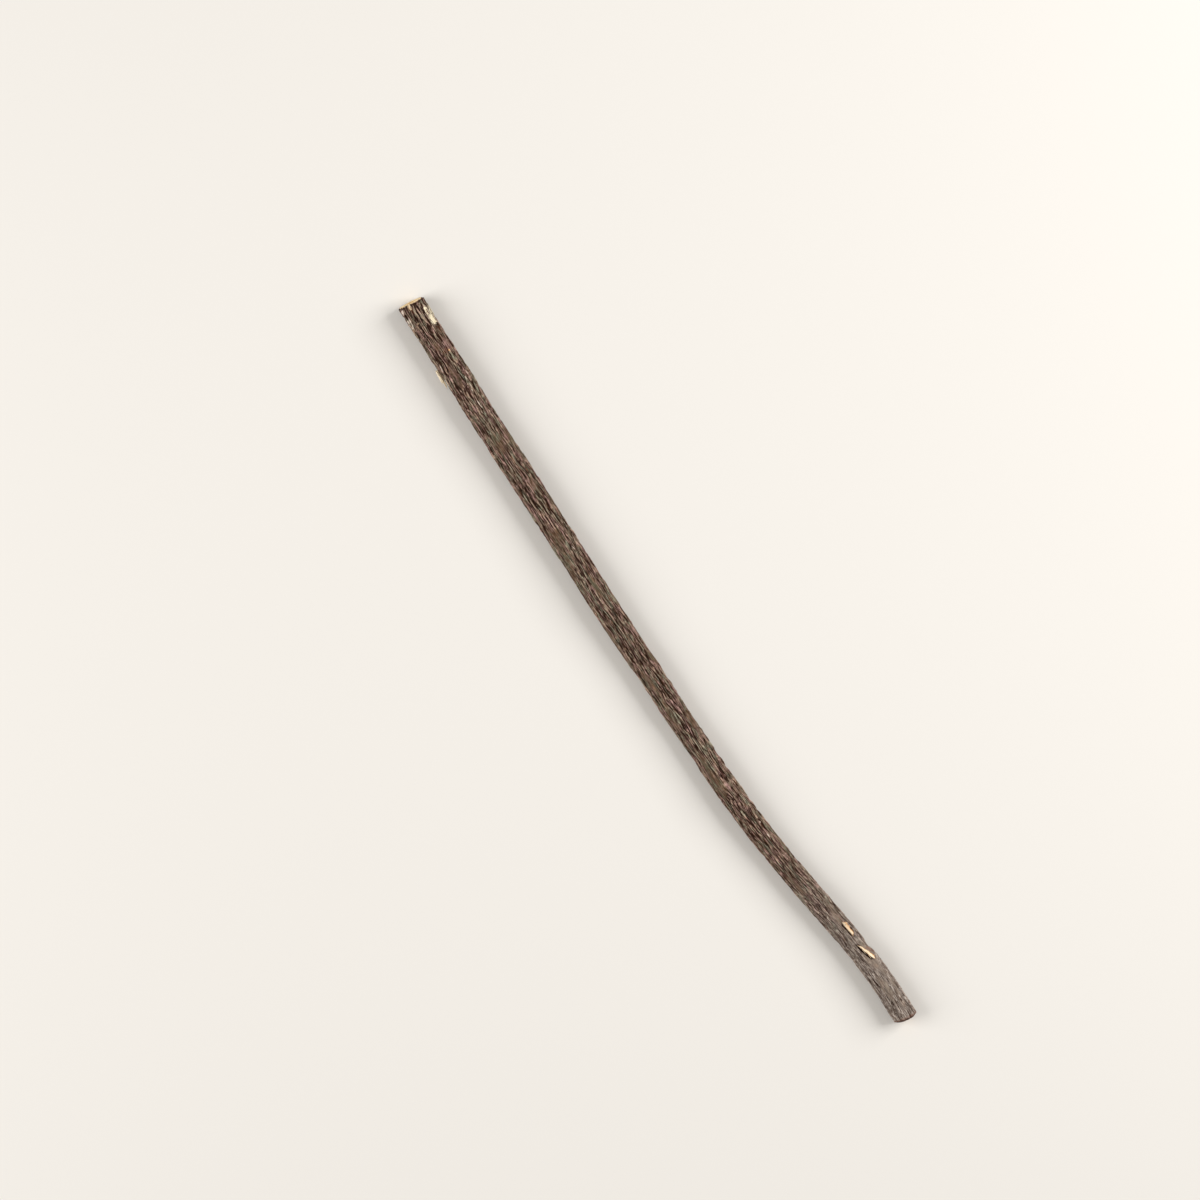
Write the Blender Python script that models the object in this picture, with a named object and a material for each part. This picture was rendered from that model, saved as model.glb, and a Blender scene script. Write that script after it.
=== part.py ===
"""A chew stick: one length of twig with its bark on, sawn off at both ends.

It lies along X on the surface z = 0. The photo's upper end is at -X and its lower end at +X, and the camera
looks down on it. Sizes are in millimetres, and become metres where the mesh is made.
"""

import math

import bpy
import numpy as np

for old in list(bpy.data.objects):
    bpy.data.objects.remove(old, do_unlink=True)

MM = 0.001

# The stick as it grew: millimetres along it, its middle line's place sideways, and half its width there
LENGTH = 200.0
GROWTH = [
    (0.0, 0.08, 3.04),
    (11.0, -0.28, 3.08),
    (22.9, -0.86, 3.03),
    (35.0, -1.26, 2.99),
    (45.9, -1.60, 2.93),
    (57.0, -1.95, 2.93),
    (69.7, -2.45, 2.96),
    (80.0, -2.80, 2.92),
    (95.0, -3.12, 2.78),
    (110.0, -3.44, 2.70),
    (126.0, -3.63, 2.70),
    (135.8, -3.62, 2.74),
    (143.0, -3.34, 2.64),
    (149.5, -3.03, 2.53),
    (155.0, -2.60, 2.53),
    (160.6, -2.00, 2.57),
    (166.0, -1.36, 2.59),
    (171.6, -0.75, 2.57),
    (178.0, -0.17, 2.53),
    (185.3, 0.26, 2.58),
    (190.8, 0.42, 2.66),
    (LENGTH, 0.09, 2.67),
]
FLATNESS = 0.95  # height over width
SUNK = 0.15  # how much of the underside's high points is levelled where it rests

# The bark's relief
LUMP_HEIGHT = 0.10
THREAD_HEIGHT = 0.27
THREAD_WIDTH = 0.95  # in units of the braid's own height
BRAID_SEED = 7
BRAID_TURNS = [3, 4, 4, 5, 5, 6, 6, 7]  # how many times each wave goes up and down around the stick
BRAID_WAVE = (24.0, 60.0)  # the shortest and longest wave along the stick

# The saw cuts: how far each leans sideways and up, as a slope
UPPER_LEAN = (0.09, -0.19)
LOWER_LEAN = (0.14, 0.0)
CUT_REACH = 9.0  # how far from the end the rings still lean with the cut

# Rings around the stick, close together where there is something small to shape
AROUND = 48
RING_RUNS = [
    (0.0, 1.4, 2),
    (1.4, 7.6, 9),
    (7.6, 15.6, 3),
    (15.6, 22.4, 8),
    (22.4, 170.1, 40),
    (170.1, 187.1, 26),
    (187.1, 198.6, 4),
    (198.6, LENGTH, 5),
]


def smooth(t):
    """0 to 1, easing in and out."""
    t = np.clip(t, 0.0, 1.0)
    return t * t * (3.0 - 2.0 * t)


def along_growth(column, at):
    """A smooth curve through one column of GROWTH, read at the given distances."""
    x = np.array([row[0] for row in GROWTH])
    y = np.array([row[column] for row in GROWTH])
    slope = np.gradient(y, x)
    i = np.clip(np.searchsorted(x, at, side="right") - 1, 0, len(x) - 2)
    run = x[i + 1] - x[i]
    t = (at - x[i]) / run
    rise = (1 + 2 * t) * (1 - t) ** 2 * y[i] + t * t * (3 - 2 * t) * y[i + 1]
    return rise + t * (1 - t) ** 2 * run * slope[i] - t * t * (1 - t) * run * slope[i + 1]


# Every point of the surface, by its distance along the stick and its angle from the top, +Y side positive
runs = [np.linspace(a, b, n, endpoint=False) for a, b, n in RING_RUNS]
along = np.append(np.concatenate(runs), LENGTH)
angle = np.arange(AROUND) * 2.0 * math.pi / AROUND
S, A = np.meshgrid(along, angle, indexing="ij")
side = along_growth(1, S)
half_width = along_growth(2, S)
radius = half_width * (1.0 - (1.0 - FLATNESS) * np.cos(A) ** 2)

# Slow swellings, from uneven growth
radius += LUMP_HEIGHT * (
    0.5 * np.sin(2 * A + S / 9.0)
    + 0.4 * np.sin(3 * A - S / 6.5 + 1.0)
    + 0.4 * np.sin(A + S / 4.3 + 2.0)
)

# Bark: woody threads that part and join around flat lens shaped patches
rng = np.random.default_rng(BRAID_SEED)
braid = np.zeros_like(S)
for number, turns in enumerate(BRAID_TURNS):
    wave = rng.uniform(*BRAID_WAVE) * (1 if number % 2 else -1)
    braid += np.cos(turns * A + 2.0 * math.pi * S / wave + rng.uniform(0.0, 2.0 * math.pi))
braid /= math.sqrt(len(BRAID_TURNS) / 2.0)
radius += THREAD_HEIGHT * (smooth(1.0 - np.abs(braid) / THREAD_WIDTH) - 0.35)


# Knocks and nicks, where the bark is off and pale wood shows
def sliced(radius, facing_deg, depth, start, end, shoulder, abrupt, tip_deg, point):
    """A flat slice, deepening from start to end and stopping at a shoulder. The share abrupt is sunk at once.
    It reaches furthest along at tip_deg around, and ends sooner by point 30 degrees from there."""
    last = end - point * (1.0 - np.cos(A - math.radians(tip_deg))) / 0.134
    slope = np.clip((S - start) / (end - start), 0.0, 1.0)
    sink = depth * (abrupt * smooth((S - start) / 0.6) + (1.0 - abrupt) * slope)
    sink = sink * (1.0 - smooth((S - last) / shoulder))
    turned = np.cos(A - math.radians(facing_deg))
    flat = (half_width - sink) / np.maximum(turned, 0.5)
    inside = (S > start) & (S < end + shoulder) & (turned > 0.5)
    return np.where(inside, np.minimum(radius, flat), radius)


def gouged(radius, middle, across, length, width, slant_deg, depth):
    """A narrow nick in the top, placed as it is seen from above."""
    y = half_width * np.sin(A)
    turn = math.radians(slant_deg)
    long_way = ((S - middle) * math.cos(turn) + (y - across) * math.sin(turn)) / (length / 2)
    short_way = ((y - across) * math.cos(turn) - (S - middle) * math.sin(turn)) / (width / 2)
    inside = smooth(2.2 * (1.0 - np.abs(long_way))) * smooth(1.8 * (1.25 - np.abs(short_way)))
    return radius - depth * inside * (np.cos(A) > 0.0)


def raised(radius, middle, facing_deg, length, spread_deg, height):
    """A low lump of bark, or a dip where height is negative."""
    turn = (A - math.radians(facing_deg) + math.pi) % (2.0 * math.pi) - math.pi
    return radius + height * np.exp(-(((S - middle) / length) ** 2) - (turn / math.radians(spread_deg)) ** 2)


# Bark pushed up beside the two nicks near the lower end, and the gap broken out between the lumps
radius = raised(radius, 175.4, 70.0, 2.4, 24.0, 0.16)
radius = raised(radius, 183.6, 66.0, 2.1, 26.0, 0.42)
radius = raised(radius, 180.7, 80.0, 1.0, 24.0, -0.62)
radius = gouged(radius, 175.2, 1.13, 3.9, 1.10, 0.0, 0.42)
radius = gouged(radius, 181.95, 0.94, 4.9, 0.92, 13.8, 0.45)
# The chip sliced out of the side near the upper end, and the scuff across from it with its sliver of wood
radius = sliced(radius, 60.0, 0.55, 1.9, 7.2, 0.5, 0.75, 44.0, 1.0)
radius = sliced(radius, -78.0, 0.16, 16.2, 21.4, 0.8, 0.5, -78.0, 0.5)
radius = raised(radius, 18.6, -90.0, 1.9, 6.0, 0.44)
# The upper end's notch, which parts the cut into two lobes
notch_turn = np.abs(A - math.radians(343.0)) / math.radians(11.0)
radius -= 0.75 * smooth(1.0 - S / 3.2) * smooth(1.35 - notch_turn)
# The lower end's edge is worn round, most at its two sides: where each faces, and how much more is off there
EDGE_WEAR, EDGE_REACH = 0.30, 0.55
CORNERS = [(85.0, 0.55), (275.0, 0.45)]
wear = np.full_like(S, EDGE_WEAR)
for facing, more in CORNERS:
    wear += more * np.clip(np.cos(A - math.radians(facing)), 0.0, 1.0) ** 2
radius -= wear * smooth(1.0 - (LENGTH - S) / EDGE_REACH)

# Laid down: the lowest points are level, so that it rests on its underside
across = radius * np.sin(A)
height = radius * np.cos(A) + FLATNESS * half_width - SUNK
height = np.maximum(height, 0.0)

# The saw cuts, flat and slightly askew, which the nearest rings lean with
middle_height = FLATNESS * half_width - SUNK
up = height - middle_height
upper = smooth(1.0 - S / CUT_REACH) * (UPPER_LEAN[0] * across - UPPER_LEAN[1] * up)
lower = smooth(1.0 - (LENGTH - S) / CUT_REACH) * (LOWER_LEAN[0] * across + LOWER_LEAN[1] * up)
step = 0.5
bend = np.arctan((along_growth(1, S + step) - along_growth(1, S - step)) / (2.0 * step))
shift = upper + lower
x = S + shift * np.cos(bend) - across * np.sin(bend)
y = side + shift * np.sin(bend) + across * np.cos(bend)
points = np.stack([x, y, height], axis=-1).reshape(-1, 3)

# The middle of each cut face
first, last = AROUND * 0, AROUND * (len(along) - 1)
ends = np.array([[0.0, side[0, 0], middle_height[0, 0]], [LENGTH, side[-1, 0], middle_height[-1, 0]]])
points = np.concatenate([points, ends])
points[:, 0] -= (points[:, 0].min() + points[:, 0].max()) / 2.0
points[:, 1] -= (points[:, 1].min() + points[:, 1].max()) / 2.0

# The faces: the bark ring by ring, then a fan across each cut
faces = []
for ring in range(len(along) - 1):
    for j in range(AROUND):
        a = ring * AROUND + j
        b = ring * AROUND + (j + 1) % AROUND
        faces.append((a, a + AROUND, b + AROUND, b))
for j in range(AROUND):
    k = (j + 1) % AROUND
    faces.append((len(points) - 2, first + j, first + k))
    faces.append((len(points) - 1, last + k, last + j))

mesh = bpy.data.meshes.new("chew_stick")
mesh.from_pydata((points * MM).tolist(), [], faces)
mesh.validate()
mesh.shade_smooth()
mesh.set_sharp_from_angle(angle=math.radians(50.0))
stick = bpy.data.objects.new("chew_stick", mesh)
bpy.context.scene.collection.objects.link(stick)

bark = bpy.data.materials.new("bark")
bark.use_nodes = True
bark.diffuse_color = (0.141, 0.087, 0.056, 1.0)
surface = bark.node_tree.nodes["Principled BSDF"]
surface.inputs["Base Color"].default_value = (0.141, 0.087, 0.056, 1.0)
surface.inputs["Roughness"].default_value = 0.75
mesh.materials.append(bark)
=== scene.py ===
import math

import bpy
import numpy as np
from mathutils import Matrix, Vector


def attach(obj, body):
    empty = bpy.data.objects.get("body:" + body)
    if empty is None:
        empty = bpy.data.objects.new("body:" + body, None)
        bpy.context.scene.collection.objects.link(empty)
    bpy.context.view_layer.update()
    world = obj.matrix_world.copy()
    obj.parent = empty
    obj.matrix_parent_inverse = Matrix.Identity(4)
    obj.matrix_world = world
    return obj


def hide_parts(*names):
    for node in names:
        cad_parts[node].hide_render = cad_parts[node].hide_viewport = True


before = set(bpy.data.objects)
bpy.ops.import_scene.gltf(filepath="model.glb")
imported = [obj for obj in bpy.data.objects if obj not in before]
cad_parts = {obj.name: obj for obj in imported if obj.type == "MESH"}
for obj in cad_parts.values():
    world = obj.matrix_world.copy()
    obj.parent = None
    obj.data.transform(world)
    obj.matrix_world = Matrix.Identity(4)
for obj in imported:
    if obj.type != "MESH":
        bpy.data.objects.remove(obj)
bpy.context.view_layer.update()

# The twig as it grew.
# The real piece is one length of dark barked twig, 200 mm long and 6 mm thick, with a long gentle bend and a
# kick near its thinner end. It keeps its bark, and was sawn off at both ends. Lengths are millimetres.
MM = 0.001
LENGTH = 200.0
GROWTH = [  # how far along, the middle line's place sideways, half the width
    (0.0, 0.08, 3.04),
    (11.0, -0.28, 3.08),
    (22.9, -0.86, 3.03),
    (35.0, -1.26, 2.99),
    (45.9, -1.60, 2.93),
    (57.0, -1.95, 2.93),
    (69.7, -2.45, 2.96),
    (80.0, -2.80, 2.92),
    (95.0, -3.12, 2.78),
    (110.0, -3.44, 2.70),
    (126.0, -3.63, 2.70),
    (135.8, -3.62, 2.74),
    (143.0, -3.34, 2.64),
    (149.5, -3.03, 2.53),
    (155.0, -2.60, 2.53),
    (160.6, -2.00, 2.57),
    (166.0, -1.36, 2.59),
    (171.6, -0.75, 2.57),
    (178.0, -0.17, 2.53),
    (185.3, 0.26, 2.58),
    (190.8, 0.42, 2.66),
    (LENGTH, 0.09, 2.67),
]
FLATNESS = 0.95  # height over width
SUNK = 0.15  # how much of the underside's high points is levelled where it rests
GIRTH = 18.4  # once around the stick
FULL_TURN = 2.0 * math.pi
scene = bpy.context.scene


def smooth(t):
    """0 to 1, easing in and out."""
    t = np.clip(t, 0.0, 1.0)
    return t * t * (3.0 - 2.0 * t)


def along_growth(column, at):
    """A smooth curve through one column of GROWTH, read at the given distances."""
    x = np.array([row[0] for row in GROWTH])
    y = np.array([row[column] for row in GROWTH])
    slope = np.gradient(y, x)
    i = np.clip(np.searchsorted(x, at, side="right") - 1, 0, len(x) - 2)
    run = x[i + 1] - x[i]
    t = (at - x[i]) / run
    rise = (1 + 2 * t) * (1 - t) ** 2 * y[i] + t * t * (3 - 2 * t) * y[i + 1]
    return rise + t * (1 - t) ** 2 * run * slope[i] - t * t * (1 - t) * run * slope[i + 1]


# A fine net of points over the whole bark: S is the distance along, A the angle from the top, +Y side
# positive. The points stand closer on the top, and the rings where the cuts and nicks are. The bark ends a
# little short of the sawn wood.
AROUND = 208
CROWDING = 0.28  # how much closer than evenly the points stand on the top
BARK_START, BARK_END = 0.22, LENGTH - 0.08
RING_RUNS = [  # from, to, how many rings
    (BARK_START, 9.0, 34),
    (9.0, 172.0, 292),
    (172.0, 186.0, 72),
    (186.0, 197.0, 24),
    (197.0, BARK_END, 14),
]
runs = [np.linspace(a, b, n, endpoint=False) for a, b, n in RING_RUNS]
along = np.append(np.concatenate(runs), BARK_END)
angle = np.arange(AROUND + 1) * FULL_TURN / AROUND
angle = (angle - CROWDING * np.sin(angle))[:AROUND]
S, A = np.meshgrid(along, angle, indexing="ij")
turn = A / FULL_TURN
half_width = along_growth(2, S)
seen_y = half_width * np.sin(A)  # how far from the middle line a point is seen from above
on_top = np.cos(A) > 0.0

# Slow swellings, from uneven growth
LUMP_HEIGHT = 0.10
radius = half_width * (1.0 - (1.0 - FLATNESS) * np.cos(A) ** 2)
radius += LUMP_HEIGHT * (
    0.5 * np.sin(2 * A + S / 9.0)
    + 0.4 * np.sin(3 * A - S / 6.5 + 1.0)
    + 0.4 * np.sin(A + S / 4.3 + 2.0)
)

# The broad woody ridges, which part and join along the stick
RIDGE_HEIGHT = 0.27
RIDGE_WIDTH = 0.95  # in units of the braid's own height
BRAID_TURNS = [3, 4, 4, 5, 5, 6, 6, 7]  # how many times each wave goes up and down around the stick
BRAID_WAVE = (24.0, 60.0)  # the shortest and longest wave along the stick
rng = np.random.default_rng(7)
braid = np.zeros_like(S)
for number, turns in enumerate(BRAID_TURNS):
    wave = rng.uniform(*BRAID_WAVE) * (1 if number % 2 else -1)
    braid += np.cos(turns * A + FULL_TURN * S / wave + rng.uniform(0.0, FULL_TURN))
braid /= math.sqrt(len(BRAID_TURNS) / 2.0)
radius += RIDGE_HEIGHT * (smooth(1.0 - np.abs(braid) / RIDGE_WIDTH) - 0.35)


def raised(radius, middle, facing_deg, length, spread_deg, height):
    """A low lump of bark, or a dip where height is negative."""
    off = (A - math.radians(facing_deg) + math.pi) % FULL_TURN - math.pi
    return radius + height * np.exp(-(((S - middle) / length) ** 2) - (off / math.radians(spread_deg)) ** 2)


# Bark pushed up beside the two nicks near the lower end, and the gap broken out between the lumps
radius = raised(radius, 175.4, 70.0, 2.4, 24.0, 0.16)
radius = raised(radius, 183.6, 66.0, 2.1, 26.0, 0.42)
radius = raised(radius, 180.7, 80.0, 1.0, 24.0, -0.62)


# The bark's skin.
# Bark is a thin dry skin, drawn along the stick as it grew: dark slits 0.1 to 0.3 mm wide and 1 to 11 mm
# long, in chains and with one lip lifted, a net of threads between them, and smooth lens shaped patches.
FIRST_ROW, ROWS = -8, 640  # rows of cells along the stick, and a little past its ends


def noise(u, w, around, seed):
    """Smooth noise from about -1 to 1 in cells. u counts them along, and w is 0 to 1 once around the stick,
    which is cut into as many as around says."""
    w = w * around
    i, j = np.floor(u).astype(int), np.floor(w).astype(int)
    slopes = np.random.default_rng(seed).uniform(0.0, FULL_TURN, (ROWS, around))
    total = 0.0
    for di in (0, 1):
        for dj in (0, 1):
            t = slopes[i + di - FIRST_ROW, (j + dj) % around]
            x, y = u - i - di, w - j - dj
            fade = (1 - smooth(np.abs(x))) * (1 - smooth(np.abs(y)))
            total = total + fade * (np.cos(t) * x + np.sin(t) * y)
    return 1.5 * total


LIP_WIDTH = 0.11


def slits(s, w, around, length, widest, seed):
    """Slits like willow leaves, one to a cell and 0.4 to 1.4 cells long. Gives how deep each point lies in
    one, and how far up its lifted lip."""
    u, w = s / length, w * around
    wide = GIRTH / around
    i, j = np.floor(u).astype(int), np.floor(w).astype(int)
    rng = np.random.default_rng(seed)
    place_u, place_w, half_length, half_wide, strength, lip_side = rng.uniform(0.0, 1.0, (6, ROWS, around))
    half_length = length * (0.22 + 0.5 * half_length**2)
    half_wide = widest * (0.45 + 0.55 * half_wide) / 2.0
    strength = 0.45 + 0.55 * strength
    lip_side = np.sign(lip_side - 0.35)
    deep, lip = np.zeros(s.shape), np.zeros(s.shape)
    for di in (-1, 0, 1):
        for dj in (-1, 0, 1):
            row, col = i + di - FIRST_ROW, (j + dj) % around
            x = (u - i - di - place_u[row, col]) * length / half_length[row, col]
            off = (w - j - dj - 0.15 - 0.7 * place_w[row, col]) * wide
            leaf = half_wide[row, col] * np.clip(1.0 - x * x, 0.0, 1.0) ** 0.6
            here = strength[row, col] * (np.abs(x) < 1.0)
            deep = np.maximum(deep, here * smooth(1.3 - np.abs(off) / (leaf + 0.01)))
            ridge = (off * lip_side[row, col] - leaf - LIP_WIDTH) / LIP_WIDTH
            lip = np.maximum(lip, here * np.exp(-(ridge**2)) * np.clip(1.2 - x * x, 0.0, 1.0))
    return deep, lip * (1.0 - deep)


SWAYS = [(0.60, 19.0, 5, 11), (0.28, 7.0, 9, 12), (0.15, 2.4, 18, 13)]  # how far, cell length, around, seed


def sway_at(s, turn):
    """How far the wandering grain has moved a fibre sideways there, in millimetres."""
    return sum(far * noise(s / length, turn, around, seed) for far, length, around, seed in SWAYS)


def streaked(marks, width, taper, y=None):
    """1 along each short mark on the top. A mark is where it starts and where it ends, each along the stick
    and sideways from its middle. taper is how much narrower its tips are."""
    y = seen_y if y is None else y
    total = np.zeros(S.shape)
    for s_a, y_a, s_b, y_b in marks:
        run, rise = s_b - s_a, y_b - y_a
        t = np.clip(((S - s_a) * run + (y - y_a) * rise) / (run * run + rise * rise), 0.0, 1.0)
        gap = np.hypot(S - s_a - t * run, y - y_a - t * rise)
        half = width / 2.0 * (1.0 - taper * (2.0 * t - 1.0) ** 2)
        total = np.maximum(total, smooth(1.3 - gap / half) * on_top)
    return total


# What the photo shows plainly on the top of the bark
# The pale and winding lips here are partly painted highlight, and the dark slits partly painted shade
PALE_LIPS = [
    (20.0, 2.30, 21.1, 2.26), (20.8, 1.66, 22.0, 1.52), (22.9, 1.52, 23.8, 1.62), (23.8, 1.62, 25.2, 1.02),
    (27.3, 0.80, 28.7, 0.86), (28.7, 0.86, 29.6, 1.12), (15.8, -2.20, 17.8, -2.38), (2.8, -2.46, 4.2, -2.52),
    (4.2, -2.52, 5.6, -2.78), (3.2, -2.80, 4.8, -2.92), (143.2, 1.55, 144.0, 1.50),
    (146.6, 1.20, 147.5, 1.26), (66.9, 1.10, 67.7, 1.24), (0.5, -2.70, 1.9, -2.88), (1.6, 2.12, 3.8, 2.22),
]
WINDING_LIPS = [
    (190.9, 0.80, 191.5, 1.10), (191.5, 1.10, 192.2, 0.96), (192.2, 0.96, 192.9, 1.02),
    (193.9, 1.60, 194.4, 1.30), (194.4, 0.50, 195.0, 0.15), (186.6, -0.60, 187.2, -0.95),
    (189.0, 1.75, 189.7, 1.95), (188.2, -1.60, 189.0, -1.85),
]
DARK_SLITS = [
    (27.1, 1.92, 29.6, 1.86), (21.4, 1.24, 23.2, 0.72), (27.6, 0.55, 29.3, 0.62), (13.0, -1.80, 16.4, -1.86),
    (16.6, -1.86, 21.2, -2.08), (12.6, -1.32, 14.8, -1.20), (15.2, -1.22, 18.2, -1.26),
    (8.6, 1.08, 11.3, 1.22), (9.6, 1.80, 12.4, 1.88), (4.4, 0.15, 5.6, 0.30), (1.2, 0.85, 2.6, 0.70),
    (194.8, 1.42, 195.6, 1.14), (187.8, -1.45, 190.2, -1.30),
]
CALM_PATCHES = [  # the middle along and sideways, half the length, half the width
    (20.1, -0.40, 3.4, 0.80), (12.0, -0.50, 1.2, 0.70), (191.5, -0.20, 3.6, 1.00), (78.0, 0.60, 2.8, 0.70),
]

# Each pattern's cells: how long they are, how many go around, and its seed
CALM_CELLS, BEAD_CELLS, SWELL_CELLS, GRIT_CELLS = (8.5, 6, 14), (1.6, 44, 16), (2.4, 15, 33), (0.9, 26, 34)
NET_CELLS, FINE_NET_CELLS, OLD_NET_CELLS = (4.4, 34, 31), (2.2, 50, 32), (1.7, 34, 35)
# Each size of slit: how many cells go around, how long they are, the widest slit, and its seed
LONG_SLITS, MID_SLITS, SHORT_SLITS = (20, 7.5, 0.30, 21), (38, 3.2, 0.28, 22), (50, 1.8, 0.25, 23)
NET_HEIGHT, FINE_NET_HEIGHT, OLD_NET_HEIGHT, LIP_HEIGHT, SLIT_DEPTH = 0.08, 0.05, 0.04, 0.09, 0.19
OLD_FROM, OLD_RUN = 150.0, 38.0
PALE_LIP_WIDTH, WINDING_LIP_WIDTH, DARK_SLIT_WIDTH = 0.34, 0.24, 0.30


def patterned(cells, turn):
    """Noise over the bark, in cells of that kind."""
    length, around, seed = cells
    return noise(S / length, turn, around, seed)


def netted(cells, crispness):
    """1 on the lines of a net that follows the grain, falling to 0 beside them."""
    return 1.0 - np.clip(np.abs(patterned(cells, flow)) * crispness, 0.0, 1.0)


flow = turn + sway_at(S, turn) / GIRTH
old = smooth((S - OLD_FROM) / OLD_RUN)  # the bark turns greyer and smoother towards the lower end
calm = smooth(2.2 * patterned(CALM_CELLS, turn) - 0.28) * np.maximum(smooth((S - 28.0) / 6.0), 0.25)
for s_mid, y_mid, half_length, half_across in CALM_PATCHES:
    out = np.hypot((S - s_mid) / half_length, (seen_y - y_mid) / half_across)
    out += 0.25 * noise(S / 1.5, turn, 26, 15)
    calm = np.maximum(calm, smooth(3.0 * (1.15 - out)) * on_top)
worn = (1.0 - 0.88 * calm) * (1.0 - 0.55 * old)
# Slits, strung along the grain like beads, and their lips
beads = np.clip(0.80 + 0.80 * patterned(BEAD_CELLS, flow), 0.0, 1.0)
long_slit, long_lip = slits(S, flow, *LONG_SLITS)
mid_slit, mid_lip = slits(S, flow, *MID_SLITS)
short_slit, short_lip = slits(S, flow, *SHORT_SLITS)
pale_mark = streaked(PALE_LIPS, PALE_LIP_WIDTH, 0.6)
pale_mark = np.maximum(pale_mark, 0.8 * streaked(WINDING_LIPS, WINDING_LIP_WIDTH, 0.4))
dark_mark = streaked(DARK_SLITS, DARK_SLIT_WIDTH, 0.6)
slit = np.maximum.reduce([long_slit * beads * 1.2, mid_slit * (0.5 + beads), short_slit])
slit = np.clip(worn * slit, 0.0, 1.0)
slit = np.maximum(slit * (1.0 - pale_mark), dark_mark)
lip = worn * np.maximum.reduce([long_lip * (1.5 - beads), mid_lip, 0.85 * short_lip])
lip = np.maximum(lip * (1.0 - slit), 1.6 * pale_mark)
# Nets of threads, a coarse and a fine one, and a third on the older bark
net = netted(NET_CELLS, 3.0)
fine_net = netted(FINE_NET_CELLS, 2.6)
old_net = netted(OLD_NET_CELLS, 2.8)
thread = np.maximum(smooth((net - 0.55) / 0.35), 0.9 * smooth((fine_net - 0.50) / 0.35))
old_thread = np.minimum(2.0 * old, 1.0) * smooth((old_net - 0.50) / 0.40)
thread = np.maximum(thread * (1.0 - 0.45 * old), old_thread)
thread = thread * (1.0 - 0.7 * calm) * (1.0 - slit)
relief = worn * (NET_HEIGHT * (net - 0.4) + FINE_NET_HEIGHT * (fine_net - 0.4))
relief += OLD_NET_HEIGHT * old * (old_net - 0.4)
relief = relief + LIP_HEIGHT * np.minimum(lip, 1.0) - SLIT_DEPTH * slit
relief += 0.05 * patterned(SWELL_CELLS, turn) + (0.02 + 0.05 * old) * patterned(GRIT_CELLS, turn)
crushed = smooth(np.minimum(S, LENGTH - S) / 1.4)  # the saw pressed the bark flatter at the cuts
radius = radius + relief * (0.35 + 0.65 * crushed)


# The knocks and nicks.
# A blade slid under the bark twice near the lower end, and a chip was knocked off near the upper end, its
# near white wood partly a painted reflection. Each left torn, pale, fibrous wood, and the nicks a crack
# painted dark as shade. A pale scuff beside the chip is a painted reflection, shaped as torn wood.
def sliced(radius, facing_deg, depth, start, end, shoulder, abrupt, tip_deg, point):
    """A flat slice, deepening from start to end and stopping at a shoulder. The share abrupt sinks at once.
    It reaches furthest along at tip_deg around, and ends sooner by point 30 degrees from there."""
    turned = np.cos(A - math.radians(facing_deg))
    last = end - point * (1.0 - np.cos(A - math.radians(tip_deg))) / 0.134
    slope = np.clip((S - start) / (end - start), 0.0, 1.0)
    sink = depth * (abrupt * smooth((S - start) / 0.6) + (1.0 - abrupt) * slope)
    sink = sink * (1.0 - smooth((S - last) / shoulder))
    flat = (half_width - sink) / np.maximum(turned, 0.5)
    inside = (S > 1.0) & (sink > 0.0) & (turned > 0.5)
    return np.where(inside, np.minimum(radius, flat), radius)


def nicked(radius, start, end, half_start, half_end, dark_start, dark_end, seed):
    """A blade's nick in the top, from start to end, each a distance along and sideways. Its floor tilts, and
    its low side is a crack painted dark as shade, which takes from dark_start to dark_end of its width.
    Gives the radius, how bare each point is, and how far it lies in the crack, its share of painted shade."""
    run, rise = end[0] - start[0], end[1] - start[1]
    length = math.hypot(run, rise)
    t = ((S - start[0]) * run + (seen_y - start[1]) * rise) / length**2
    off = ((seen_y - start[1]) * run - (S - start[0]) * rise) / length
    inner = np.clip(t, 0.0, 1.0)
    half = half_start + (half_end - half_start) * inner
    half = half * (0.25 + 0.75 * smooth(np.minimum(t, 1.0 - t) / 0.13))
    half = half + 0.10 * noise(S / 0.70, turn, 90, seed) + 0.05 * noise(S / 0.35, turn, 130, seed + 2)
    across = off / np.maximum(half, 0.05)
    ends = smooth(1.0 - np.maximum(-t, t - 1.0) * length / 0.25) * on_top
    inside = smooth(4.0 * (1.15 - np.abs(across))) * ends
    fibres = 0.06 * noise(S / 1.2, turn, 120, seed + 1)
    floor = 0.26 - 0.14 * np.clip(across, -1.0, 1.0) + fibres
    dark_share = dark_start + (dark_end - dark_start) * inner
    in_crack = smooth((2.0 * dark_share - 1.0 - across) / 0.20 + 0.5)
    crack = in_crack * smooth(4.0 * (1.28 - np.abs(across))) * ends
    bare = smooth(1.15 * (1.38 - np.abs(across))) * ends * (1.0 - in_crack)
    return radius - np.maximum(inside * floor, 0.50 * crack), bare, crack


bark_surface = radius.copy()
radius = sliced(radius, 60.0, 0.55, 1.9, 7.2, 0.5, 0.75, 44.0, 1.0)
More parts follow.
